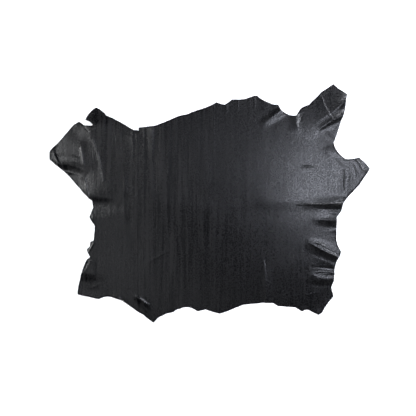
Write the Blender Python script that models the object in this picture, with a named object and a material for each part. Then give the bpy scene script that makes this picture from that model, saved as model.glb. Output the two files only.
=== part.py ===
"""A whole lambskin, tanned and dyed black, spread flat with the grain side up.

The hide is one sheet of leather. Its raw outline, the folds that run in from its edges and the places where
its edges lift are given below in millimetres from the middle of the hide, seen from above: +X to the right,
+Y away. The sheet is flat on z = 0 wherever no fold raises it.
"""

import math

import bmesh
import bpy
import numpy as np
from mathutils import Vector
from mathutils.geometry import delaunay_2d_cdt

# Driving dimensions, in metres.
MM = 0.001
THICKNESS = 1.2 * MM
RIM_PITCH = 9 * MM  # between the points along the outline
CREST_PITCH = 8 * MM  # between the points along the top of a fold
FOLD_PITCH = 8 * MM  # between the points on a fold's flanks
FLAT_STRIDE = 2  # where the hide lies flat, every second one of those points is kept
CREST_CLEARANCE = 0.55 * FOLD_PITCH  # kept free of flank points beside a crest or the outline
CREST_ROUNDNESS = 1.2  # from 0, a sharp crest, to 2, a round one
FOLDED = 0.3 * MM  # a point that rises more than this has the closer points

# The grain side's finish.
DYED_BLACK = (0.020, 0.021, 0.024, 1.0)
GRAIN_ROUGHNESS = 0.42

# The outline, clockwise, as stretches of the edge. A row is a corner:
#   x, y, how far the edge that leaves it bows outwards on its way to the next corner (inwards if negative)
OUTLINE = {
    "neck flap": (
        (-397, 267, 4),
        (-364, 304, 3),
        (-333, 280, 2),
        (-245, 232, 1),
        (-225, 230, 0),
        (-227, 240, 0),
    ),
    "top edge": (
        (-180, 246, -2),
        (-102, 278, -1),
        (-67, 285, 1),
        (-32, 298, -2),
        (20, 322, -1),
        (48, 314, -1),
        (71, 330, 0),
        (112, 331, 0),
        (141, 343, 0),
        (150, 343, -4),
        (206, 314, 0),
        (217, 314, 0),
        (225, 298, -7),
        (278, 279, 0),
        (288, 298, 3),
        (318, 313, 0),
    ),
    "upper right leg": (
        (358, 355, 0),
        (395, 380, 0),
        (408, 367, 0),
        (437, 348, 0),
        (432, 329, 4),
        (419, 266, 0),
        (399, 207, 0),
        (394, 195, -3),
    ),
    "right leg": (
        (412, 157, 0),
        (433, 140, -2),
        (476, 145, 0),
        (500, 123, 0),
        (510, 111, 0),
        (479, 63, 0),
        (435, 15, 0),
    ),
    "right edge": (
        (425, 2, 0),
        (419, -24, 0),
        (404, -45, 0),
        (403, -119, -2),
        (419, -156, 0),
        (409, -177, -3),
        (397, -220, 0),
        (395, -247, 0),
        (387, -269, -1),
        (394, -298, 0),
    ),
    "bottom edge": (
        (370, -326, 0),
        (357, -348, 0),
        (347, -355, 0),
        (323, -344, -3),
        (300, -341, 0),
        (295, -345, 0),
        (273, -332, 0),
        (219, -328, 0),
        (203, -318, -2),
        (144, -320, 0),
        (106, -323, 0),
        (31, -353, 0),
        (-13, -338, 0),
        (-40, -344, 0),
        (-58, -334, -4),
        (-95, -336, -2),
        (-118, -347, -2),
        (-166, -365, 0),
        (-181, -380, 0),
        (-200, -367, -2),
        (-228, -348, 0),
        (-278, -311, 0),
        (-320, -298, -3),
        (-356, -306, 0),
    ),
    "left edge": (
        (-422, -290, 0),
        (-422, -279, 0),
        (-416, -250, 2),
        (-393, -182, 0),
        (-382, -173, 0),
        (-393, -148, 0),
        (-384, -139, 0),
        (-382, -124, 0),
        (-371, -121, 0),
        (-367, -73, 0),
        (-384, -45, 0),
        (-373, -14, 0),
        (-376, 9, 1),
        (-397, 28, 0),
    ),
    "left lobe": (
        (-447, 86, 0),
        (-510, 140, 0),
        (-510, 165, 1),
        (-490, 185, 0),
        (-461, 218, 0),
        (-447, 236, 2),
        (-418, 259, 0),
    ),
    "slit": (
        (-403, 248, 0),
        (-376, 247, 0),
        (-373, 251, 0),
        (-383, 261, 0),
    ),
}

# The folds and lifted edges. A row's crest runs through three points, each with its height above the flat
# hide. The fold falls away to the crest's left and right over the two reaches that end the row:
#   (start x, y, height), (middle x, y, height), (end x, y, height), left reach, right reach
FOLDS = {
    "right edge, first": ((288, -5, 0), (358, -3, 6), (429, 0, 9), 30, 18),
    "right edge, second": ((326, -51, 0), (365, -54, 5), (410, -53, 8), 24, 22),
    "right edge, third": ((307, -128, 0), (352, -146, 7), (416, -174, 10), 34, 18),
    "right edge, fourth": ((326, -174, 0), (355, -181, 3), (403, -201, 4), 14, 22),
    "right edge, fifth": ((314, -238, 0), (352, -243, 6), (403, -245, 8), 28, 22),
    "upper right leg, root": ((346, 231, 0), (387, 260, 7), (429, 284, 9), 26, 15),
    "upper right leg, side": ((387, 285, 0), (410, 304, 4), (440, 332, 7), 22, 15),
    "upper right leg, length": ((352, 351, 3), (365, 314, 3), (394, 263, 1), 9, 9),
    "right leg, root": ((434, 20, 0), (430, 63, 3), (434, 108, 0), 16, 12),
    "right leg, lifted edge": ((470, 150, 3), (493, 132, 7), (514, 107, 5), 20, 22),
    "top edge, slanting": ((160, 263, 0), (189, 287, 6), (222, 313, 8), 24, 16),
    "top edge, beside the leg": ((286, 224, 0), (277, 253, 4), (278, 286, 5), 20, 12),
    "top edge, middle": ((16, 110, 0), (13, 240, 1.5), (14, 326, 3), 10, 12),
    "top edge, left": ((-186, 138, 0), (-189, 189, 3), (-186, 250, 4), 12, 14),
    "neck flap, root": ((-260, 222, 4), (-243, 211, 4), (-234, 182, 0), 14, 14),
    "neck flap, lifted tip": ((-392, 276, 2), (-378, 296, 5), (-360, 308, 3), 16, 22),
    "lobe, crease from the slit": ((-397, 240, 2), (-368, 183, 4), (-342, 74, 0), 10, 16),
    "lobe, short crease": ((-416, 192, 0), (-408, 160, 3), (-402, 116, 1), 9, 9),
    "lobe, lower fold": ((-495, 131, 5), (-448, 128, 8), (-397, 119, 2), 34, 18),
    "lobe, lower edge": ((-461, 93, 4), (-432, 91, 5), (-397, 87, 0), 12, 14),
    "lobe, lifted end": ((-486, 118, 4), (-511, 142, 7), (-508, 170, 4), 20, 20),
    "lobe, lifted upper edge": ((-488, 194, 0), (-455, 231, 4), (-416, 262, 2), 20, 26),
    "left edge, under the lobe": ((-392, 23, 6), (-352, 21, 7), (-304, 15, 0), 30, 26),
    "left edge, middle": ((-386, -50, 4), (-339, -44, 4), (-250, -41, 0), 14, 38),
    "across the middle, left": ((-340, 20, 0), (-200, 6, 3), (-30, 0, 0), 60, 34),
    "across the middle, right": ((90, 12, 0), (210, 8, 3), (350, 4, 0), 70, 40),
    "bottom left, corner": ((-424, -290, 3), (-390, -300, 5), (-352, -308, 2), 20, 20),
    "bottom left, first": ((-314, -284, 0), (-294, -300, 5), (-269, -320, 4), 14, 14),
    "bottom left, second": ((-243, -294, 0), (-221, -310, 5), (-198, -329, 3), 16, 14),
    "bottom edge, upright": ((182, -324, 5), (178, -256, 5), (173, -188, 0), 16, 26),
    "bottom right, corner": ((300, -344, 0), (347, -357, 4), (378, -322, 2), 22, 20),
}


def arc(start, end, bow, pitch):
    """Points from start up to but not including end, on an arc that bows to the left of the way by bow."""
    start, end = np.array(start, float), np.array(end, float)
    along = end - start
    chord = math.hypot(*along)
    count = max(1, round(chord / pitch))
    share = np.arange(count)[:, None] / count
    outward = np.array((-along[1], along[0])) / chord
    return start + share * along + 4 * bow * share * (1 - share) * outward


def outline_points():
    """The outline as points in metres, clockwise, about RIM_PITCH apart, with every corner kept."""
    corners = [row for stretch in OUTLINE.values() for row in stretch]
    runs = [
        arc((x * MM, y * MM), (next_x * MM, next_y * MM), bow * MM, RIM_PITCH)
        for (x, y, bow), (next_x, next_y, _) in zip(corners, corners[1:] + corners[:1])
    ]
    return np.concatenate(runs)


def crest_line(fold, pitch):
    """The crest of a fold as points (x, y, height) in metres, on the parabola through its three points."""
    start, middle, end, *_ = (np.array(column) * MM for column in fold)
    length = math.dist(start[:2], middle[:2]) + math.dist(middle[:2], end[:2])
    share = np.linspace(0, 1, max(3, round(length / pitch) + 1))[:, None]
    return (
        start * (1 - share) * (1 - 2 * share)
        + middle * 4 * share * (1 - share)
        + end * share * (2 * share - 1)
    )


def fold_height(points, fold):
    """How high one fold raises each of these points."""
    crest = crest_line(fold, CREST_PITCH)
    *_, left_reach, right_reach = fold
    raised = np.zeros(len(points))
    nearest = np.full(len(points), np.inf)
    for start, end in zip(crest, crest[1:]):
        along = end[:2] - start[:2]
        offset = points - start[:2]
        share = np.clip(offset @ along / (along @ along), 0, 1)
        distance = np.linalg.norm(offset - share[:, None] * along, axis=1)
        on_left = along[0] * offset[:, 1] - along[1] * offset[:, 0] > 0
        away = np.clip(distance / MM / np.where(on_left, left_reach, right_reach), 0, 1)
        profile = (1 - away) ** 2 * (1 + CREST_ROUNDNESS * away)
        height = start[2] + share * (end[2] - start[2])
        closer = distance < nearest
        raised[closer] = (height * profile)[closer]
        nearest[closer] = distance[closer]
    return np.maximum(raised, 0)


def rise(points):
    """The height of the hide's underside at each of these points."""
    return sum(fold_height(points, fold) for fold in FOLDS.values())


def inside(points, outline):
    """Which of these points lie inside the outline."""
    crossings = np.zeros(len(points), int)
    for (x0, y0), (x1, y1) in zip(outline, np.roll(outline, -1, axis=0)):
        spans = (y0 > points[:, 1]) != (y1 > points[:, 1])
        height = y1 - y0 if y1 != y0 else 1.0
        crossings += spans & (points[:, 0] < x0 + (x1 - x0) * (points[:, 1] - y0) / height)
    return crossings % 2 == 1


def clear_of(points, others, distance):
    """Which of these points are at least this far from all the others."""
    gaps = np.linalg.norm(points[:, None] - others[None], axis=2)
    return gaps.min(axis=1) >= distance


def flank_points(outline, crests):
    """A triangular lattice over the hide: every point of it on the folds, and fewer elsewhere."""
    row_step = FOLD_PITCH * math.sqrt(3) / 2
    half_rows = math.ceil(abs(outline[:, 1]).max() / row_step)
    half_columns = math.ceil(abs(outline[:, 0]).max() / FOLD_PITCH) + half_rows
    column, row = np.meshgrid(
        np.arange(-half_columns, half_columns + 1), np.arange(-half_rows, half_rows + 1)
    )
    column, row = column.ravel(), row.ravel()
    lattice = np.column_stack(((column + row / 2) * FOLD_PITCH, row * row_step))
    low, high = outline.min(axis=0), outline.max(axis=0)
    boxed = ((lattice > low) & (lattice < high)).all(axis=1)
    lattice, column, row = lattice[boxed], column[boxed], row[boxed]
    coarse = (column % FLAT_STRIDE == 0) & (row % FLAT_STRIDE == 0)
    kept = coarse | (rise(lattice) > FOLDED)
    kept &= inside(lattice, outline)
    lattice = lattice[kept]
    return lattice[clear_of(lattice, np.concatenate((outline, crests)), CREST_CLEARANCE)]


def crest_points(outline, first):
    """The points along all the crests, and the edges that join them, numbered from first."""
    points, edges = [], []
    for fold in FOLDS.values():
        crest = crest_line(fold, CREST_PITCH)[:, :2]
        clear = inside(crest, outline) & clear_of(crest, outline, CREST_CLEARANCE)
        for point, kept, joined in zip(crest, clear, np.append(False, clear)):
            if kept and joined:
                edges.append((first + len(points) - 1, first + len(points)))
            if kept:
                points.append(point)
    return np.array(points), edges


def plan():
    """The hide seen from above, as points and counterclockwise triangles, the outline's points first."""
    outline = outline_points()
    count = len(outline)
    rim = [(i, (i + 1) % count) for i in range(count)]
    crests, ridges = crest_points(outline, count)
    points = np.concatenate((outline, crests, flank_points(outline, crests)))
    inner_triangles = 1
    merge_distance = 1e-7
    vertices, _, faces, *_ = delaunay_2d_cdt(
        [Vector(point) for point in points], rim + ridges, [], inner_triangles, merge_distance
    )
    corners = np.array([vertex[:] for vertex in vertices])
    centres = np.array([corners[list(face)].mean(axis=0) for face in faces])
    whole = inside(centres, corners[:count])
    return corners, [face for face, kept in zip(faces, whole) if kept], count


def leather(name, colour, roughness):
    material = bpy.data.materials.new(name)
    material.use_nodes = True
    shader = material.node_tree.nodes["Principled BSDF"]
    shader.inputs["Base Color"].default_value = colour
    shader.inputs["Roughness"].default_value = roughness
    shader.inputs["Metallic"].default_value = 0.0
    return material


def make_hide():
    """The sheet: its underside, its grain side THICKNESS above that, and the raw edge between them."""
    corners, triangles, rim_count = plan()
    base = rise(corners)
    mesh = bmesh.new()
    under = [mesh.verts.new((*corner, z)) for corner, z in zip(corners, base)]
    grain = [mesh.verts.new((*corner, z + THICKNESS)) for corner, z in zip(corners, base)]
    for a, b, c in triangles:
        mesh.faces.new((grain[a], grain[b], grain[c]))
        mesh.faces.new((under[c], under[b], under[a]))
    for here in range(rim_count):
        there = (here + 1) % rim_count
        mesh.faces.new((grain[here], grain[there], under[there], under[here]))
    bmesh.ops.triangulate(mesh, faces=[face for face in mesh.faces if len(face.verts) == 4])
    bmesh.ops.recalc_face_normals(mesh, faces=mesh.faces[:])
    data = bpy.data.meshes.new("hide")
    mesh.to_mesh(data)
    mesh.free()
    hide = bpy.data.objects.new("hide", data)
    bpy.context.collection.objects.link(hide)
    data.materials.append(leather("lambskin", DYED_BLACK, GRAIN_ROUGHNESS))
    raw_edge_angle = math.radians(50)
    data.shade_smooth()
    data.set_sharp_from_angle(angle=raw_edge_angle)
    return hide


for old in list(bpy.data.objects):
    bpy.data.objects.remove(old, do_unlink=True)
make_hide()
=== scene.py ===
"""The lambskin's looks: a thin leather sheet on the solid's folds, its creases, finish and studio."""

import math

import bpy
import numpy as np
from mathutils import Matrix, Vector
from mathutils.bvhtree import BVHTree
from mathutils.geometry import delaunay_2d_cdt
from mathutils.kdtree import KDTree


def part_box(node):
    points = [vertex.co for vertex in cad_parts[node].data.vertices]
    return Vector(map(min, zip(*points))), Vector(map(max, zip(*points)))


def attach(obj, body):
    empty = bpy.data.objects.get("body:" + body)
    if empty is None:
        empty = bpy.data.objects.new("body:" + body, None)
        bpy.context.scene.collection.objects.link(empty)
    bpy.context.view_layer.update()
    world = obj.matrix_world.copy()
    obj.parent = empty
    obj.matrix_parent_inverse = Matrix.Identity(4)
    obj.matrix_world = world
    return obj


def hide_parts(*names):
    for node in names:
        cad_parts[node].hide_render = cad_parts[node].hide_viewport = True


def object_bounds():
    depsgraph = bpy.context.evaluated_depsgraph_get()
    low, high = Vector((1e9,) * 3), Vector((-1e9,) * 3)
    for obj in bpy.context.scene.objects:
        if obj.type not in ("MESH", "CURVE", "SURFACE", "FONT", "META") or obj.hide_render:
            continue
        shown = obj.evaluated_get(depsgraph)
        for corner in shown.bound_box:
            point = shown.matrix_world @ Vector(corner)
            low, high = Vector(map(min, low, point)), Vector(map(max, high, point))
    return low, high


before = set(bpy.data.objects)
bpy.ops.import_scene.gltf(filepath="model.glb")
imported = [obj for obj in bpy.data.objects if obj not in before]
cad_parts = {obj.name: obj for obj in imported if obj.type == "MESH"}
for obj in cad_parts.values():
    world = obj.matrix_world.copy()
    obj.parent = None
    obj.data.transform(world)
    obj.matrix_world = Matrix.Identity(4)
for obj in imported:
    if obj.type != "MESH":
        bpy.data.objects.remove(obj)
cad_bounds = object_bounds()

MM = 0.001
SEED = 7
TINY = 1e-6

# The sheet, in metres.
THICKNESS = 1.0 * MM
EDGE_THICKNESS = 0.3 * MM  # where the grain side rounds over to the cut edge
SOLID_THICKNESS = 1.2 * MM
RIM_PITCH = 2.6 * MM  # between the points along the edge
RIM_OUTSET = 1.7 * MM  # how far the edge, pulled flat, goes past the solid's
GRAIN_PITCH = 4.2 * MM  # between the points of the grain side
CREASE_PITCH = 1.6 * MM  # between its points beside a crease
CREASE_REACH = 7.5 * MM  # how far from a crest those closer points go
FLESH_PITCH = 9.0 * MM  # between the points of the underside
EDGE_REACH = 4.5 * MM  # of the worn, matt strip along the cut
SHARP_ANGLE = 50  # degrees, from which a bend of the mesh is shaded as a corner
RIM_CLEARANCE = 0.5  # of a pitch, kept free of other points beside the edge
RELIEF_PITCH = 2.5 * MM  # of the grid on which the solid's folds are smoothed
RELIEF_MARGIN = 8  # cells of that grid past the hide's edge
FOLD_BLUR = 1.5  # how far the solid's facets are smoothed, in cells of that grid
FOLD_SHARE = 0.5  # of the solid's fold heights, which the softer sheet keeps under its own creases

# The photograph's view: straight down, 416 pixels across, 3.2 mm of the hide to a pixel.
IMAGE_PIXELS = 416
PIXEL = 3.2 * MM
VIEW_CENTRE = (-0.0064, -0.0154)
CAMERA_HEIGHT = 2.6
SENSOR = 36.0

# Creases that the solid leaves to the sheet, in millimetres from the middle of the hide:
#   (start x, y, height), (middle x, y, height), (end x, y, height), left reach, right reach
# The left reach is how far the crease's flank goes on the left of the way from start to end.
# A height below nought is a trough, or lowers one of the solid's folds.
CREASES = {
    "the right edge's five folds, from the top": {
        "first, dimple above": ((400, 4, -0.2), (416, 10, -0.7), (432, 20, -0.7), 4, 4),
        "first, narrow start": ((278, -4, 0.6), (326, -3, 1.3), (371, -3, 1.1), 4, 5),
        "first, crest line": ((365, -1, 0.3), (394, -1, 1.4), (424, 0, 1.7), 4.5, 7),
        "first, foot": ((346, -19, -0.2), (381, -21, -0.7), (416, -22, -0.8), 12, 5),
        "first, pleat below": ((349, -35, 0), (378, -31, 0.9), (410, -30, 1.2), 9, 16),
        "second, notch": ((387, -36, -0.2), (397, -38, -0.6), (413, -41, -0.6), 3.5, 4),
        "second, crest line": ((339, -52, 0), (371, -54, 0.8), (403, -54, 1.2), 8, 7),
        "second, foot": ((342, -75, -0.1), (374, -78, -0.2), (405, -79, -0.3), 14, 9),
        "second, bead at the edge": ((378, -91, 0), (394, -89, 0.7), (406, -86, 1), 5, 6),
        "third, knot": ((330, -134, 0), (346, -127, 1.2), (368, -137, 0.3), 4, 6),
        "third, seam above": ((333, -129, -0.2), (371, -145, -0.8), (406, -163, -0.9), 3.5, 3.5),
        "third, crest line": ((317, -128, 0.3), (355, -148, 1.5), (413, -174, 1.9), 4.5, 6),
        "third, shoulder": ((317, -129, 0.4), (346, -140, 1.3), (378, -156, 0.2), 24, 5),
        "third, foot": ((310, -156, -0.1), (346, -171, -0.2), (406, -195, -0.2), 14, 10),
        "fourth, lowered": ((323, -176, -0.2), (355, -184, -0.9), (403, -204, -1.0), 22, 22),
        "fourth, foot": ((323, -204, -0.2), (358, -207, -0.5), (397, -211, -0.6), 10, 5),
        "fifth, upper lip": ((326, -223, 0.2), (362, -220, 1.2), (398, -224, 1.5), 4, 4),
        "fifth, seam": ((355, -231, -0.3), (378, -231, -1), (400, -232, -1.3), 4, 4),
        "fifth, left knot": ((317, -236, 0), (330, -230, 1.1), (342, -236, 0.2), 6, 8),
        "fifth, foot": ((317, -259, -0.2), (352, -262, -0.6), (390, -262, -0.6), 16, 12),
        "below the folds": ((301, -297, 0), (323, -291, 0.35), (346, -287, 0.15), 8, 7),
    },
    "the right leg": {
        "root, turned to a valley": ((434, 36, 0), (431, 71, -1.5), (435, 113, 0), 9, 9),
        "root, swell": ((419, 145, 1.0), (419, 90, 1.5), (422, 36, 0.6), 60, 90),
        "lifted edge, lowered": ((470, 151, 0), (494, 132, -1.5), (515, 107, -1.2), 20, 22),
        "curled edge": ((468, 143, 0.8), (483, 119, 1.4), (496, 95, 0.6), 6, 15),
        "inner bend": ((454, 129, 0), (462, 106, 0.5), (467, 81, 0), 9, 8),
        "armpit, hollow": ((403, 145, -0.2), (419, 132, -0.5), (438, 119, -0.2), 9, 12),
        "armpit, swell": ((374, 183, 0.2), (382, 164, 1.2), (394, 141, 0.4), 60, 26),
        "scar": ((293, 116, -0.6), (312, 118, -0.95), (328, 116, -0.6), 4.5, 4.5),
    },
    "the upper right leg": {
        "root": ((350, 237, 1.7), (382, 259, 1.9), (419, 279, 1.0), 110, 11),
        "root, filled above": ((342, 260, 0.6), (371, 279, 1.8), (406, 297, 0.8), 110, 16),
        "side, foot": ((394, 284, -0.2), (410, 292, -1.3), (429, 306, -1.5), 11, 16),
        "side": ((389, 290, 0.2), (410, 308, 1.3), (435, 329, 1.5), 40, 11),
        "length, lowered": ((352, 351, -0.6), (365, 314, -0.7), (394, 263, -0.3), 9, 9),
        "length": ((353, 348, 0.9), (371, 303, 1.3), (395, 265, 0.9), 5, 9),
        "facet": ((368, 231, 0), (381, 215, 0.6), (397, 199, 0.3), 9, 12),
        "tip": ((394, 362, 0.3), (387, 340, 0.4), (390, 311, 0), 14, 14),
        "lifted right side": ((438, 340, 1.5), (426, 282, 1.2), (400, 209, 0.2), 12, 90),
    },
    "the top edge": {
        "slanting fold, moved": ((157, 257, 0), (189, 287, -2.4), (222, 313, -3.4), 24, 16),
        "slanting fold": ((158, 249, 0), (198, 276, 2.8), (229, 299, 4.2), 18, 24),
        "slanting fold, corner": ((206, 306, 0.2), (213, 311, 1), (218, 316, 1.2), 5, 5),
        "beside the leg, swell": ((282, 225, 0.2), (277, 257, 1.2), (275, 289, 1.7), 26, 14),
        "beside the leg": ((286, 228, 0.2), (279, 253, 0.4), (277, 281, 0.3), 7, 7),
        "beside the leg, dimple": ((291, 263, 0), (293, 274, -1), (298, 287, -1), 4, 4),
        "first upright": ((90, 292, 0), (90, 313, 0.6), (90, 329, 0.9), 5, 5),
        "second upright": ((143, 295, 0), (143, 319, 0.7), (143, 341, 0.9), 5, 5),
        "middle, lowered": ((16, 110, 0), (13, 240, -0.5), (14, 326, -1.1), 10, 12),
        "middle": ((15, 113, 0), (13, 234, 0.5), (13, 319, 0.8), 3.5, 3),
        "right of the middle": ((51, 279, 0), (53, 301, 0.8), (54, 316, 1), 6, 6),
    },
    "the notch between neck flap and top edge": {
        "flap root, lowered": ((-260, 222, -1.2), (-243, 211, -1.2), (-234, 182, 0), 14, 14),
        "first upright": ((-249, 135, 0), (-246, 193, 0.5), (-248, 233, 0.5), 7, 6),
        "second upright": ((-236, 106, 0), (-234, 170, 0.3), (-235, 221, 0.4), 5, 5),
        "third upright": ((-211, 10, 0.1), (-210, 170, 0.35), (-212, 241, 0.7), 6, 7),
        "fourth upright": ((-187, 7, 0.1), (-185, 138, 0.35), (-187, 241, 0.7), 6, 7),
        "fifth upright": ((-158, 42, 0), (-160, 138, 0.3), (-157, 247, 0.5), 6, 7),
        "sixth upright": ((-133, 4, 0.1), (-134, 100, 0.35), (-134, 209, 0), 6, 6),
        "short upright": ((-269, 29, 0.2), (-272, 68, 0.6), (-274, 113, 0), 9, 9),
    },
    "the lobe on the left": {
        "slit ridge, lowered": ((-397, 240, -0.6), (-365, 180, -0.8), (-342, 74, 0), 10, 16),
        "slit ridge": ((-397, 233, 1.0), (-364, 177, 1.4), (-339, 71, 0.5), 3.5, 6.5),
        "slit, shoulder": ((-394, 245, 1.8), (-381, 218, 1.5), (-365, 183, 0), 30, 5),
        "inner ridge": ((-413, 193, 0.6), (-409, 161, 1.3), (-401, 113, 0.8), 3, 3.5),
        "inner ridge, lowered": ((-414, 196, 0), (-418, 164, -0.5), (-410, 129, -0.2), 4, 12),
        "swell towards the tip": ((-410, 231, 1.2), (-406, 183, 1.6), (-403, 129, 0.8), 40, 100),
        "level above the lower fold": ((-493, 156, 3.8), (-448, 152, 4.8), (-406, 140, 4.0), 130, 42),
        "neck flap, lifted": ((-381, 253, 5), (-355, 250, 6), (-310, 247, 1.2), 52, 64),
        "lower fold": ((-486, 124, 0.9), (-445, 119, 1.3), (-397, 105, 1.2), 10, 16),
        "lower edge, lowered": ((-474, 105, -1.6), (-438, 96, -2.6), (-400, 84, -1.2), 15, 20),
        "white ridge": ((-400, 84, 0.8), (-395, 53, 1.5), (-389, 23, 1.7), 3.5, 4.5),
        "white ridge, shoulder": ((-400, 84, 0.8), (-395, 53, 2.4), (-389, 23, 2.0), 4, 28),
        "tip, turned lip": ((-500, 172, 1.1), (-495, 151, 2.1), (-480, 124, 1.7), 8, 14),
        "upper edge, lowered": ((-488, 194, 0), (-455, 231, -1.2), (-416, 262, -0.6), 20, 26),
    },
    "the left edge": {
        "under the lobe, swell": ((-390, 49, 4.6), (-333, 49, 5.2), (-262, 42, 0.8), 110, 51),
        "under the lobe, foot": ((-384, -6, -1.1), (-342, -6, -1.2), (-275, -7, -0.5), 22, 22),
        "under the lobe, step": ((-374, -33, 0.2), (-326, -31, 0.35), (-256, -30, 0), 9, 6),
        "nick": ((-389, -156, 1.2), (-379, -140, 1.8), (-371, -124, 1), 6, 7),
        "fringe, upper": ((-371, -54, 0.6), (-374, -41, 1.5), (-378, -28, 1.2), 6, 5),
        "below the spur": ((-383, -188, 0.8), (-392, -203, 1.2), (-400, -220, 0.8), 9, 6),
        "lower pleat": ((-416, -222, 3), (-390, -223, 3), (-362, -223, 0.6), 80, 30),
        "lower pleat, bulge": ((-374, -179, 0.1), (-374, -201, 1.4), (-374, -217, 1.6), 60, 40),
        "lower pleat, swell": ((-381, -271, 0.4), (-365, -265, 0.8), (-349, -255, 0), 9, 9),
    },
    "the bottom edge": {
        "corner bead": ((-309, -295, 0.3), (-297, -301, 2), (-285, -308, 1.0), 6, 6),
        "left streak": ((-240, -296, 0.4), (-219, -309, 2.6), (-198, -324, 0.8), 7, 16),
        "left streak, second": ((-227, -321, 0.2), (-214, -331, 0.9), (-202, -345, 0.4), 8, 6),
        "first upright": ((-197, -361, 0.6), (-197, -329, 0.75), (-197, -299, 0.2), 3.5, 3.5),
        "third upright": ((27, -348, 0.6), (27, -334, 0.5), (27, -316, 0), 5, 5),
        "upright near the right, narrowed": ((182, -324, -0.6), (178, -256, -0.8), (173, -188, 0), 5, 26),
        "upright near the right": ((181, -319, 0.9), (178, -249, 0.75), (173, -188, 0.5), 7, 5),
        "upright near the right, groove": ((173, -316, -0.9), (172, -284, -0.8), (168, -252, 0), 3.5, 3.5),
        "right of it": ((232, -323, 0.9), (232, -297, 0.7), (230, -265, 0), 5, 4),
        "inner wrinkle": ((-205, -191, 0.2), (-166, -171, 1.2), (-131, -150, 0.2), 11, 10),
    },
    "long soft swells of the once folded hide": {
        "fold across, left": ((-400, -33, 1.2), (-192, -32, 1.0), (-6, -25, 0.5), 42, 90),
        "fold across, right": ((-6, -25, 0.6), (176, -19, 0.6), (346, -9, 0.5), 60, 130),
        "fine line, upper": ((-314, 112, 0.05), (-192, 113, 0.22), (-58, 111, 0.05), 3, 4),
        "fine line, middle": ((-326, 61, 0.05), (-256, 61, 0.2), (-176, 60, 0.05), 3, 4),
    },
}

SHARP_REACH = 12.0  # a flank up to this wide leaves its crest sharply, and one twice as wide roundly
CREST_PIECES = 16  # the straight pieces that each crest is laid out in

# Uneven relief over the whole sheet: cell across, cell along, height, all in millimetres.
UNDULATIONS = {
    "broad waves": (130, 110, 0.5),
    "hand-sized waves": (45, 60, 0.12),
}
# Upright streaks, stronger over the left half: cell across, cell along, height, and the left half's gain.
STREAKS = {
    "wide": (14, 120, 0.06, 3.2),
    "narrow": (7, 60, 0.035, 3.6),
}
STREAK_FADE = (-0.10, 0.06)  # from the left half's gain to none, in metres along X

# Waves of the edge in millimetres: up and down as cell and height, in and out as cell and width.
RIM_WAVES = ((34, 0.7), (14, 0.35))
RIM_WAVE_REACH = 14  # how far in from the edge the upward waves go
RAGGED = ((26, 0.7), (7, 0.5))

# Noise in the leather: cells to the metre across and along the hide, octaves past the first, roughness.
STREAK_NOISE = (95, 4, 3, 0.65)
PATCH_NOISE = (9, 7, 1, 0.5)
UPRIGHT_SPECKLE = (380, 150, 1, 0.5)
LEVEL_SPECKLE = (160, 380, 1, 0.5)
NAP_NOISE = (260, 260, 5, 0.7)
FIBRE_NOISE = (500, 500, 4, 0.7)
PEBBLES = 650.0  # grains to the metre

# The grain side's finish.
LEFT_HALF = (0.06, -0.12)  # metres along X where the streaks start to strengthen and are full
STREAKS_ON_RIGHT = 0.28  # of their strength on the left
SPECKLE_IN_COLOUR = 0.2
SPECKLE_IN_POLISH = 0.52
POLISH = (0.20, 0.35)  # roughness where the grain is most and least polished
EDGE_DULLNESS = 0.45  # roughness right at the cut edge
GRAIN_SPECULAR = 0.26
PEBBLE_BUMP = (0.0003, 0.35)  # depth in metres, strength
SPECKLE_BUMP = (0.00012, 0.7)
STREAK_BUMP = (0.0003, 0.7)

# The darkest and lightest colour of the grain side, the underside and the cut edge; the cut edge's near
# black is partly its dyed fibres and partly painted shade along the hide's outline.
GRAIN_COLOURS = ((0.0002, 0.0003, 0.0006, 1), (0.0050, 0.0048, 0.0050, 1))
FLESH_COLOURS = ((0.030, 0.030, 0.033, 1), (0.062, 0.061, 0.064, 1))
EDGE_AND_OUTLINE_SHADE_COLOURS = ((0.001, 0.001, 0.0015, 1), (0.006, 0.006, 0.007, 1))


def welded_rim(node):
    """The outline of a sheet's solid, seen from above, as points in order round it."""
    data = node.data
    data.calc_loop_triangles()
    upright = 0.2
    neighbours = {}
    for triangle in data.loop_triangles:
        if abs(triangle.normal.z) > upright:
            continue
        corners = [data.vertices[i].co for i in triangle.vertices]
        spots = sorted({(round(corner.x, 6), round(corner.y, 6)) for corner in corners})
        if len(spots) == 2:
            neighbours.setdefault(spots[0], set()).add(spots[1])
            neighbours.setdefault(spots[1], set()).add(spots[0])
    loop = [min(neighbours)]
    last = None
    while True:
        ahead = min(neighbours[loop[-1]] - {last})
        if ahead == loop[0]:
            return np.array(loop)
        last = loop[-1]
        loop.append(ahead)


def counterclockwise(loop):
    x, y = loop.T
    area = np.sum(x * np.roll(y, -1) - np.roll(x, -1) * y)
    return loop if area > 0 else loop[::-1]


def eased(share):
    return share * share * (3 - 2 * share)


def wavy(length, cell, rng):
    """A smooth random wave from -1 to 1 that repeats after that length, as a function of the way."""
    knots = rng.uniform(-1, 1, max(3, round(length / cell)))

    def at(way):
        place = np.asarray(way) / length * len(knots)
        first = np.floor(place).astype(int)
        share = eased(place - first)
        return knots[first % len(knots)] * (1 - share) + knots[(first + 1) % len(knots)] * share

    return at


def fine_rim(rim, rng):
    """The outline as closer points with an uneven cut, and how far along the edge each one is."""
    closed = np.vstack((rim, rim[:1]))
    way = np.concatenate(([0], np.cumsum(np.linalg.norm(np.diff(closed, axis=0), axis=1))))
    length = way[-1]
    places = np.linspace(0, length, round(length / RIM_PITCH), endpoint=False)
    points = np.column_stack([np.interp(places, way, closed[:, axis]) for axis in (0, 1)])
    along = np.roll(points, -1, axis=0) - np.roll(points, 1, axis=0)
    along /= np.linalg.norm(along, axis=1)[:, None]
    outward = np.column_stack((along[:, 1], -along[:, 0]))
    points = points + outward * RIM_OUTSET
    for cell, width in RAGGED:
        points = points + outward * (wavy(length, cell * MM, rng)(places) * width * MM)[:, None]
    return points, places, length


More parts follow.
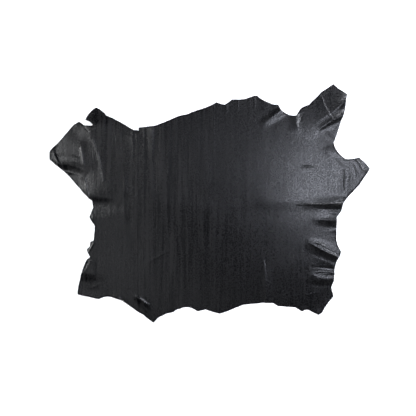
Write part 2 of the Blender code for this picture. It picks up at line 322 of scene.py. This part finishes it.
def inside(points, loop):
    """Which of these points lie inside the loop."""
    crossings = np.zeros(len(points), int)
    for (x0, y0), (x1, y1) in zip(loop, np.roll(loop, -1, axis=0)):
        spans = (y0 > points[:, 1]) != (y1 > points[:, 1])
        height = y1 - y0 if y1 != y0 else 1.0
        crossings += spans & (points[:, 0] < x0 + (x1 - x0) * (points[:, 1] - y0) / height)
    return crossings % 2 == 1


def nearest(points, others):
    """How far each point is from the nearest of the others, and the number of that one."""
    tree = KDTree(len(others))
    for number, (x, y) in enumerate(others):
        tree.insert((x, y, 0), number)
    tree.balance()
    found = [tree.find((x, y, 0)) for x, y in points]
    return np.array([distance for _, _, distance in found]), np.array([n for _, n, _ in found])


def lattice(rim, pitch):
    """Points in rows of triangles over the hide, clear of its edge."""
    row_step = pitch * math.sqrt(3) / 2
    low, high = rim.min(axis=0), rim.max(axis=0)
    x, y = np.meshgrid(np.arange(low[0], high[0], pitch), np.arange(low[1], high[1], row_step))
    x[1::2] += pitch / 2
    points = np.column_stack((x.ravel(), y.ravel()))
    points = points[inside(points, rim)]
    return points[nearest(points, rim)[0] > RIM_CLEARANCE * pitch]


def grain_points(rim):
    """The grain side's points inside the edge, closer together beside the creases."""
    crests = np.vstack([crest_line(crease)[:, :2] for crease in all_creases()]) * MM
    wide, close = lattice(rim, GRAIN_PITCH), lattice(rim, CREASE_PITCH)
    seam = (GRAIN_PITCH + CREASE_PITCH) / 4
    wide = wide[nearest(wide, crests)[0] > CREASE_REACH + seam]
    close = close[nearest(close, crests)[0] < CREASE_REACH - seam]
    return np.vstack((wide, close))


def plan(rim, inner):
    """The hide seen from above, as points and counterclockwise triangles, the edge's points first."""
    points = np.concatenate((rim, inner))
    count = len(rim)
    inner_triangles = 1
    merge_distance = 1e-7
    vertices, _, faces, *_ = delaunay_2d_cdt(
        [Vector(point) for point in points],
        [(i, (i + 1) % count) for i in range(count)],
        [],
        inner_triangles,
        merge_distance,
    )
    corners = np.array([vertex[:] for vertex in vertices])
    faces = np.array([face[:] for face in faces])
    return corners, faces[inside(corners[faces].mean(axis=1), rim)]


def solid_relief(node):
    """How high the solid's underside lies: a smoothed grid of heights, and the place of its first cell."""
    vertices = [vertex.co for vertex in node.data.vertices]
    tree = BVHTree.FromPolygons(vertices, [face.vertices for face in node.data.polygons])
    low, high = (np.array(corner[:2]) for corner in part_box("hide"))
    first = low - RELIEF_MARGIN * RELIEF_PITCH
    columns, rows = np.ceil((high - first) / RELIEF_PITCH).astype(int) + RELIEF_MARGIN
    above, down = 1.0, Vector((0, 0, -1))
    grid = np.full((rows, columns), np.nan)
    for row in range(rows):
        for column in range(columns):
            start = (first[0] + column * RELIEF_PITCH, first[1] + row * RELIEF_PITCH, above)
            hit = tree.ray_cast(start, down)[0]
            if hit:
                grid[row, column] = hit.z - SOLID_THICKNESS
    return blurred(grown(grid), FOLD_BLUR), first


def grown(grid):
    """The grid with its empty cells filled outwards from their nearest neighbours."""
    grid = grid.copy()
    for _ in range(2 * RELIEF_MARGIN):
        padded = np.pad(grid, 1, constant_values=np.nan)
        sides = np.array((padded[:-2, 1:-1], padded[2:, 1:-1], padded[1:-1, :-2], padded[1:-1, 2:]))
        known = ~np.isnan(sides)
        total = np.where(known, sides, 0).sum(axis=0)
        count = known.sum(axis=0)
        fill = np.isnan(grid) & (count > 0)
        grid[fill] = total[fill] / count[fill]
    return np.nan_to_num(grid)


def blurred(grid, cells):
    reach = math.ceil(3 * cells)
    offsets = np.arange(-reach, reach + 1)
    weights = np.exp(-0.5 * (offsets / cells) ** 2)
    weights /= weights.sum()
    for axis in (0, 1):
        padded = np.pad(grid, [(reach, reach) if i == axis else (0, 0) for i in (0, 1)], mode="edge")
        size = grid.shape[axis]
        shifted = [np.take(padded, np.arange(k, k + size), axis=axis) for k in range(len(offsets))]
        grid = sum(weight * part for weight, part in zip(weights, shifted))
    return grid


def between(grid, cell, share):
    """The grid's value at this share of the way across and up each cell."""
    x, y = share.T
    column, row = cell.T
    return (
        grid[row, column] * (1 - x) * (1 - y)
        + grid[row, column + 1] * x * (1 - y)
        + grid[row + 1, column] * (1 - x) * y
        + grid[row + 1, column + 1] * x * y
    )


def sampled(grid, first, pitch, points):
    """The grid's value at each point, between its four nearest cells."""
    place = (points - first) / pitch
    cell = np.clip(np.floor(place).astype(int), 0, np.array(grid.shape[::-1]) - 2)
    return between(grid, cell, place - cell)


def uneven(points, cell_across, cell_along, rng):
    """Smooth random relief from -1 to 1, with cells of that size."""
    cells = np.array((cell_across, cell_along)) * MM
    place = (points - np.array(cad_bounds[0][:2])) / cells + 1
    size = np.ceil(place.max(axis=0)).astype(int) + 2
    knots = rng.uniform(-1, 1, size[::-1])
    cell = np.floor(place).astype(int)
    return between(knots, cell, eased(place - cell))


def all_creases():
    return [crease for group in CREASES.values() for crease in group.values()]


def crest_line(crease):
    """The crest of a crease as points (x, y, height), on the parabola through its three points."""
    start, middle, end, *_ = (np.array(column, float) for column in crease)
    share = np.linspace(0, 1, CREST_PIECES + 1)[:, None]
    return (
        start * (1 - share) * (1 - 2 * share)
        + middle * 4 * share * (1 - share)
        + end * share * (2 * share - 1)
    )


def crease_height(points, crease):
    """How high one crease raises each of these points, in metres."""
    crest = crest_line(crease)
    *_, left_reach, right_reach = crease
    reach = max(left_reach, right_reach)
    low, high = crest[:, :2].min(axis=0) - reach, crest[:, :2].max(axis=0) + reach
    points = points / MM
    near = np.flatnonzero(((points > low) & (points < high)).all(axis=1))
    close = points[near]
    raised = np.zeros(len(close))
    least = np.full(len(close), np.inf)
    for start, end in zip(crest, crest[1:]):
        along = end[:2] - start[:2]
        offset = close - start[:2]
        share = np.clip(offset @ along / (along @ along), 0, 1)
        distance = np.linalg.norm(offset - share[:, None] * along, axis=1)
        across = (along[0] * offset[:, 1] - along[1] * offset[:, 0]) / np.linalg.norm(along)
        leftness = np.clip(across / np.maximum(distance, TINY), -1, 1)
        width = (left_reach + right_reach) / 2 + leftness * (left_reach - right_reach) / 2
        away = np.clip(distance / width, 0, 1)
        profile = (1 - away) ** 2 * (1 + np.clip(width / SHARP_REACH, 1, 2) * away)
        height = start[2] + share * (end[2] - start[2])
        closer = distance < least
        raised[closer] = (height * profile)[closer]
        least[closer] = distance[closer]
    heights = np.zeros(len(points))
    heights[near] = raised * MM
    return heights


def sheet_heights(points, rim, places, length, relief):
    """The height of the sheet's underside at each of these points, before it is stopped by the floor."""
    heights = FOLD_SHARE * sampled(relief[0], relief[1], RELIEF_PITCH, points)
    for crease in all_creases():
        heights += crease_height(points, crease)
    rng = np.random.default_rng(SEED)
    for cell_across, cell_along, height in UNDULATIONS.values():
        heights += height * MM * uneven(points, cell_across, cell_along, rng)
    on_left = np.clip((STREAK_FADE[1] - points[:, 0]) / (STREAK_FADE[1] - STREAK_FADE[0]), 0, 1)
    for cell_across, cell_along, height, gain in STREAKS.values():
        streaks = height * MM * uneven(points, cell_across, cell_along, rng)
        heights += streaks * (1 + (gain - 1) * on_left)
    distance, number = nearest(points, rim)
    near_edge = np.clip(1 - distance / (RIM_WAVE_REACH * MM), 0, 1) ** 2
    for cell, height in RIM_WAVES:
        wave = wavy(length, cell * MM, rng)(places)[number]
        heights += near_edge * height * MM * np.clip(wave, 0, 1)
    return heights


def edge_nearness(vertices, rim):
    """One at the cut edge, falling to nought a little way in from it."""
    away = nearest(vertices[:, :2], rim)[0] / EDGE_REACH
    return np.clip(1 - away, 0, 1)


def make_sheet(relief):
    """The whole hide as one closed mesh: grain side, underside, and the cut edge between them."""
    rim = counterclockwise(welded_rim(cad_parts["hide"]))
    rim, places, length = fine_rim(rim, np.random.default_rng(SEED + 1))
    count = len(rim)
    grain, grain_faces = plan(rim, grain_points(rim))
    flesh, flesh_faces = plan(rim, lattice(rim, FLESH_PITCH))
    grain_height = sheet_heights(grain, rim, places, length, relief)
    flesh_height = np.maximum(sheet_heights(flesh, rim, places, length, relief), 0)
    grain_height[count:] += THICKNESS
    grain_height[:count] = flesh_height[:count] + EDGE_THICKNESS
    shift = len(grain)
    here = np.arange(count)
    there = (here + 1) % count
    edge_faces = np.column_stack((there, here, here + shift, there + shift))
    vertices = np.vstack(
        (np.column_stack((grain, grain_height)), np.column_stack((flesh, flesh_height)))
    )
    faces = grain_faces.tolist() + (flesh_faces[:, ::-1] + shift).tolist() + edge_faces.tolist()
    # Grain faces touching the edge take the cut edge's matt near-black finish: partly frayed fibres,
    # partly painted shade that draws a dark outline round the hide.
    frayed_and_shaded_ring = 2 * (grain_faces < count).any(axis=1)
    sides = frayed_and_shaded_ring.tolist() + [1] * len(flesh_faces) + [2] * len(edge_faces)
    data = bpy.data.meshes.new("lambskin")
    data.from_pydata(vertices.tolist(), [], faces)
    for material in (grain_leather(), flesh_leather(), cut_edge_and_outline_shade()):
        data.materials.append(material)
    data.polygons.foreach_set("material_index", sides)
    nearness = data.attributes.new("edge", "FLOAT", "POINT")
    nearness.data.foreach_set("value", edge_nearness(vertices, rim))
    data.shade_smooth()
    data.set_sharp_from_angle(angle=math.radians(SHARP_ANGLE))
    data.update()
    sheet = bpy.data.objects.new("lambskin", data)
    bpy.context.collection.objects.link(sheet)
    return sheet


def new_material(name):
    """A material with its node tree and its shader."""
    material = bpy.data.materials.new(name)
    material.use_nodes = True
    tree = material.node_tree
    return material, tree, tree.nodes["Principled BSDF"]


def add_node(tree, kind, settings=None, **inputs):
    """A node with some of its settings and inputs given; an input may be another node's output."""
    node = tree.nodes.new(kind)
    for name, value in (settings or {}).items():
        setattr(node, name, value)
    for name, value in inputs.items():
        socket = node.inputs[name.replace("_", " ")]
        if isinstance(value, bpy.types.NodeSocket):
            tree.links.new(value, socket)
        else:
            socket.default_value = value
    return node


def stretched_noise(tree, across, along, detail, roughness):
    """Noise from 0 to 1 with this many cells to the metre across and along the hide."""
    place = add_node(tree, "ShaderNodeTexCoord").outputs["Object"]
    scaled = add_node(tree, "ShaderNodeMapping", Vector=place, Scale=(across, along, across))
    noise = add_node(
        tree,
        "ShaderNodeTexNoise",
        Vector=scaled.outputs["Vector"],
        Scale=1.0,
        Detail=detail,
        Roughness=roughness,
    )
    return noise.outputs["Fac"]


def ranged(tree, value, low, high, to_low, to_high):
    """The value moved from one range to another, and kept within the new one."""
    node = add_node(tree, "ShaderNodeMapRange", Value=value)
    for name, number in (("From Min", low), ("From Max", high), ("To Min", to_low), ("To Max", to_high)):
        node.inputs[name].default_value = number
    return node.outputs["Result"]


def colour_mix(tree, share, first, second):
    """The first colour at share 0, the second at share 1."""
    node = add_node(tree, "ShaderNodeMixRGB")
    tree.links.new(share, node.inputs["Fac"])
    node.inputs["Color1"].default_value = first
    node.inputs["Color2"].default_value = second
    return node.outputs["Color"]


def calculated(tree, operation, first, second):
    """The result of one sum on two numbers, each a number or another node's output."""
    node = add_node(tree, "ShaderNodeMath", {"operation": operation})
    for socket, value in zip(node.inputs, (first, second)):
        if isinstance(value, bpy.types.NodeSocket):
            tree.links.new(value, socket)
        else:
            socket.default_value = value
    return node.outputs["Value"]


def bumped(tree, height, distance, strength, under=None):
    """The normal over this height, on top of the one under it."""
    node = add_node(tree, "ShaderNodeBump", Height=height, Distance=distance, Strength=strength)
    if under:
        tree.links.new(under, node.inputs["Normal"])
    return node.outputs["Normal"]


def grain_streaks(tree, across_hide):
    """Upright streaks from -0.5 to 0.5, in patches, full on the left half and faint on the right."""
    on_left = ranged(tree, across_hide, *LEFT_HALF, 0.0, 1.0)
    streaks = ranged(tree, stretched_noise(tree, *STREAK_NOISE), 0.36, 0.64, -0.5, 0.5)
    weight = ranged(tree, on_left, 0.0, 1.0, STREAKS_ON_RIGHT, 1.0)
    patches = ranged(tree, stretched_noise(tree, *PATCH_NOISE), 0.35, 0.65, 0.5, 1.1)
    return calculated(tree, "MULTIPLY", calculated(tree, "MULTIPLY", streaks, weight), patches)


def grain_speckle(tree):
    upright = ranged(tree, stretched_noise(tree, *UPRIGHT_SPECKLE), 0.3, 0.7, -0.5, 0.5)
    level = ranged(tree, stretched_noise(tree, *LEVEL_SPECKLE), 0.3, 0.7, -0.5, 0.5)
    return calculated(tree, "ADD", upright, level)


def with_speckle(tree, streaks, speckle, weight):
    return calculated(tree, "ADD", streaks, calculated(tree, "MULTIPLY", speckle, weight))


def grain_leather():
    """The dyed grain side: near black, half glossy, finely pebbled, streaked upright on its left half."""
    material, tree, shader = new_material("grain")
    place = add_node(tree, "ShaderNodeTexCoord").outputs["Object"]
    across_hide = add_node(tree, "ShaderNodeSeparateXYZ", Vector=place).outputs["X"]
    streaks = grain_streaks(tree, across_hide)
    speckle = grain_speckle(tree)
    pattern = with_speckle(tree, streaks, speckle, SPECKLE_IN_COLOUR)
    rubbed = with_speckle(tree, streaks, speckle, SPECKLE_IN_POLISH)
    lightness = ranged(tree, pattern, -0.35, 0.5, 0.0, 1.0)
    tree.links.new(colour_mix(tree, lightness, *GRAIN_COLOURS), shader.inputs["Base Color"])
    worn = add_node(tree, "ShaderNodeAttribute", {"attribute_name": "edge"}).outputs["Fac"]
    finish = ranged(tree, rubbed, -0.5, 0.5, *POLISH)
    worn = ranged(tree, worn, 0.0, 1.0, 0.0, EDGE_DULLNESS)
    tree.links.new(calculated(tree, "MAXIMUM", finish, worn), shader.inputs["Roughness"])
    shader.inputs["Specular IOR Level"].default_value = GRAIN_SPECULAR
    smooth = {"feature": "SMOOTH_F1"}
    pebbles = add_node(tree, "ShaderNodeTexVoronoi", smooth, Vector=place, Scale=PEBBLES)
    normal = bumped(tree, pebbles.outputs["Distance"], *PEBBLE_BUMP)
    normal = bumped(tree, speckle, *SPECKLE_BUMP, normal)
    normal = bumped(tree, streaks, *STREAK_BUMP, normal)
    tree.links.new(normal, shader.inputs["Normal"])
    return material


def flesh_leather():
    """The underside: dark matt suede."""
    material, tree, shader = new_material("flesh side")
    nap = stretched_noise(tree, *NAP_NOISE)
    lightness = ranged(tree, nap, 0.3, 0.7, 0.0, 1.0)
    tree.links.new(colour_mix(tree, lightness, *FLESH_COLOURS), shader.inputs["Base Color"])
    shader.inputs["Roughness"].default_value = 0.95
    shader.inputs["Sheen Weight"].default_value = 0.35
    tree.links.new(bumped(tree, nap, 0.0008, 0.6), shader.inputs["Normal"])
    return material


def cut_edge_and_outline_shade():
    """The raw edge, and the ring of grain faces along it: matt fibres dyed near black, partly real and
    partly painted shade that darkens the hide's outline.
    """
    material, tree, shader = new_material("cut edge")
    fibres = stretched_noise(tree, *FIBRE_NOISE)
    lightness = ranged(tree, fibres, 0.35, 0.65, 0.0, 1.0)
    tree.links.new(colour_mix(tree, lightness, *EDGE_AND_OUTLINE_SHADE_COLOURS), shader.inputs["Base Color"])
    shader.inputs["Roughness"].default_value = 0.9
    shader.inputs["Specular IOR Level"].default_value = 0.1
    tree.links.new(bumped(tree, fibres, 0.0004, 0.6), shader.inputs["Normal"])
    return material


FLOOR_HALF = 5.0
FLOOR_GAP = 0.2 * MM  # under the sheet
FLOOR_COLOUR = (0.93, 0.93, 0.93, 1)
FLOOR_GLOW = 0.10


def make_floor():
    """A plain pale light table."""
    data = bpy.data.meshes.new("floor")
    sides = ((-1, -1), (1, -1), (1, 1), (-1, 1))
    corners = [(x * FLOOR_HALF, y * FLOOR_HALF, -FLOOR_GAP) for x, y in sides]
    data.from_pydata(corners, [], [(0, 1, 2, 3)])
    material, _, shader = new_material("floor")
    shader.inputs["Base Color"].default_value = FLOOR_COLOUR
    shader.inputs["Roughness"].default_value = 0.9
    shader.inputs["Specular IOR Level"].default_value = 0.0
    shader.inputs["Emission Color"].default_value = (1, 1, 1, 1)
    shader.inputs["Emission Strength"].default_value = FLOOR_GLOW
    data.materials.append(material)
    floor = bpy.data.objects.new("floor", data)
    bpy.context.collection.objects.link(floor)
    return floor


# The studio's soft lights: place, point it looks at, width, height, power in watts, colour.
LIGHTS = {
    "sheen, over the right side": ((0.585, 0.11, 1.3), (0.45, 0.12, 0), 0.26, 0.26, 7.4, (0.84, 0.875, 1)),
    "key, right": ((1.35, 0.65, 1.4), (0.2, 0, 0), 0.2, 0.2, 26, (0.88, 0.91, 1)),
    "key, upper right": ((1.0, 1.4, 1.2), (0.2, 0, 0), 0.25, 0.25, 9, (0.9, 0.92, 1)),
    "key, top": ((0.5, 1.25, 1.2), (0.3, 0, 0), 0.2, 0.2, 17, (0.9, 0.92, 1)),
    "middle, high": ((0.10, 0.26, 1.3), (0.1, 0.2, 0), 0.6, 0.4, 0.9, (0.86, 0.885, 1)),
    "left, over the tip": ((-0.76, 0.26, 1.3), (-0.5, 0.17, 0), 0.25, 0.25, 2.7, (0.96, 0.975, 1)),
    "left": ((-1.25, 0.08, 1.3), (-0.4, 0, 0), 0.6, 0.6, 4.8, (0.96, 0.975, 1)),
    "left, high": ((-0.35, 0.15, 1.3), (-0.3, 0.1, 0), 0.4, 0.4, 0.35, (0.93, 0.95, 1)),
    "left, high, nearer": ((-0.47, -0.3, 1.3), (-0.3, -0.2, 0), 0.4, 0.4, 1.0, (0.93, 0.95, 1)),
    "bottom": ((-0.06, -0.52, 1.3), (-0.05, -0.3, 0), 0.45, 0.12, 0.35, (0.93, 0.95, 1)),
    "left, far": ((-1.6, 0.2, 1.3), (-0.4, 0, 0), 0.2, 0.2, 14, (1, 1, 1)),
    "front, low": ((1.2, -2.0, 0.7), (0, 0, 0), 0.9, 0.9, 46, (1, 1, 1)),
}
WORLD_ZENITH = (0.034, 0.035, 0.040, 1)
WORLD_HORIZON = (0.50, 0.51, 0.53, 1)
HORIZON_TOP = 0.2  # sine of the height above the floor up to which the surroundings are bright
ZENITH_START = 0.45  # and from which they are dark


def make_lights():
    """The lamps, which the camera doesn't see, and dim surroundings."""
    for name, (place, target, width, height, power, colour) in LIGHTS.items():
        light = bpy.data.lights.new(name, "AREA")
        light.shape = "RECTANGLE"
        light.size = width
        light.size_y = height
        light.energy = power
        light.color = colour
        lamp = bpy.data.objects.new(name, light)
        lamp.location = place
        lamp.rotation_euler = (Vector(target) - Vector(place)).to_track_quat("-Z", "Y").to_euler()
        lamp.visible_camera = False
        bpy.context.collection.objects.link(lamp)
    world = bpy.data.worlds.new("studio")
    world.use_nodes = True
    tree = world.node_tree
    direction = add_node(tree, "ShaderNodeTexCoord").outputs["Generated"]
    height = add_node(tree, "ShaderNodeSeparateXYZ", Vector=direction).outputs["Z"]
    share = ranged(tree, height, HORIZON_TOP, ZENITH_START, 0.0, 1.0)
    surroundings = colour_mix(tree, share, WORLD_HORIZON, WORLD_ZENITH)
    tree.links.new(surroundings, tree.nodes["Background"].inputs["Color"])
    bpy.context.scene.world = world


def make_camera():
    """Straight above the hide, framed as the photograph is."""
    camera = bpy.data.cameras.new("camera")
    camera.sensor_width = SENSOR
    camera.lens = SENSOR * CAMERA_HEIGHT / (IMAGE_PIXELS * PIXEL)
    eye = bpy.data.objects.new("camera", camera)
    eye.location = (*VIEW_CENTRE, CAMERA_HEIGHT)
    bpy.context.collection.objects.link(eye)
    bpy.context.scene.camera = eye


bpy.context.scene.view_settings.view_transform = "Standard"
make_camera()
make_lights()
floor = make_floor()
lambskin = make_sheet(solid_relief(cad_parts["hide"]))
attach(lambskin, "root")
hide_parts("hide")
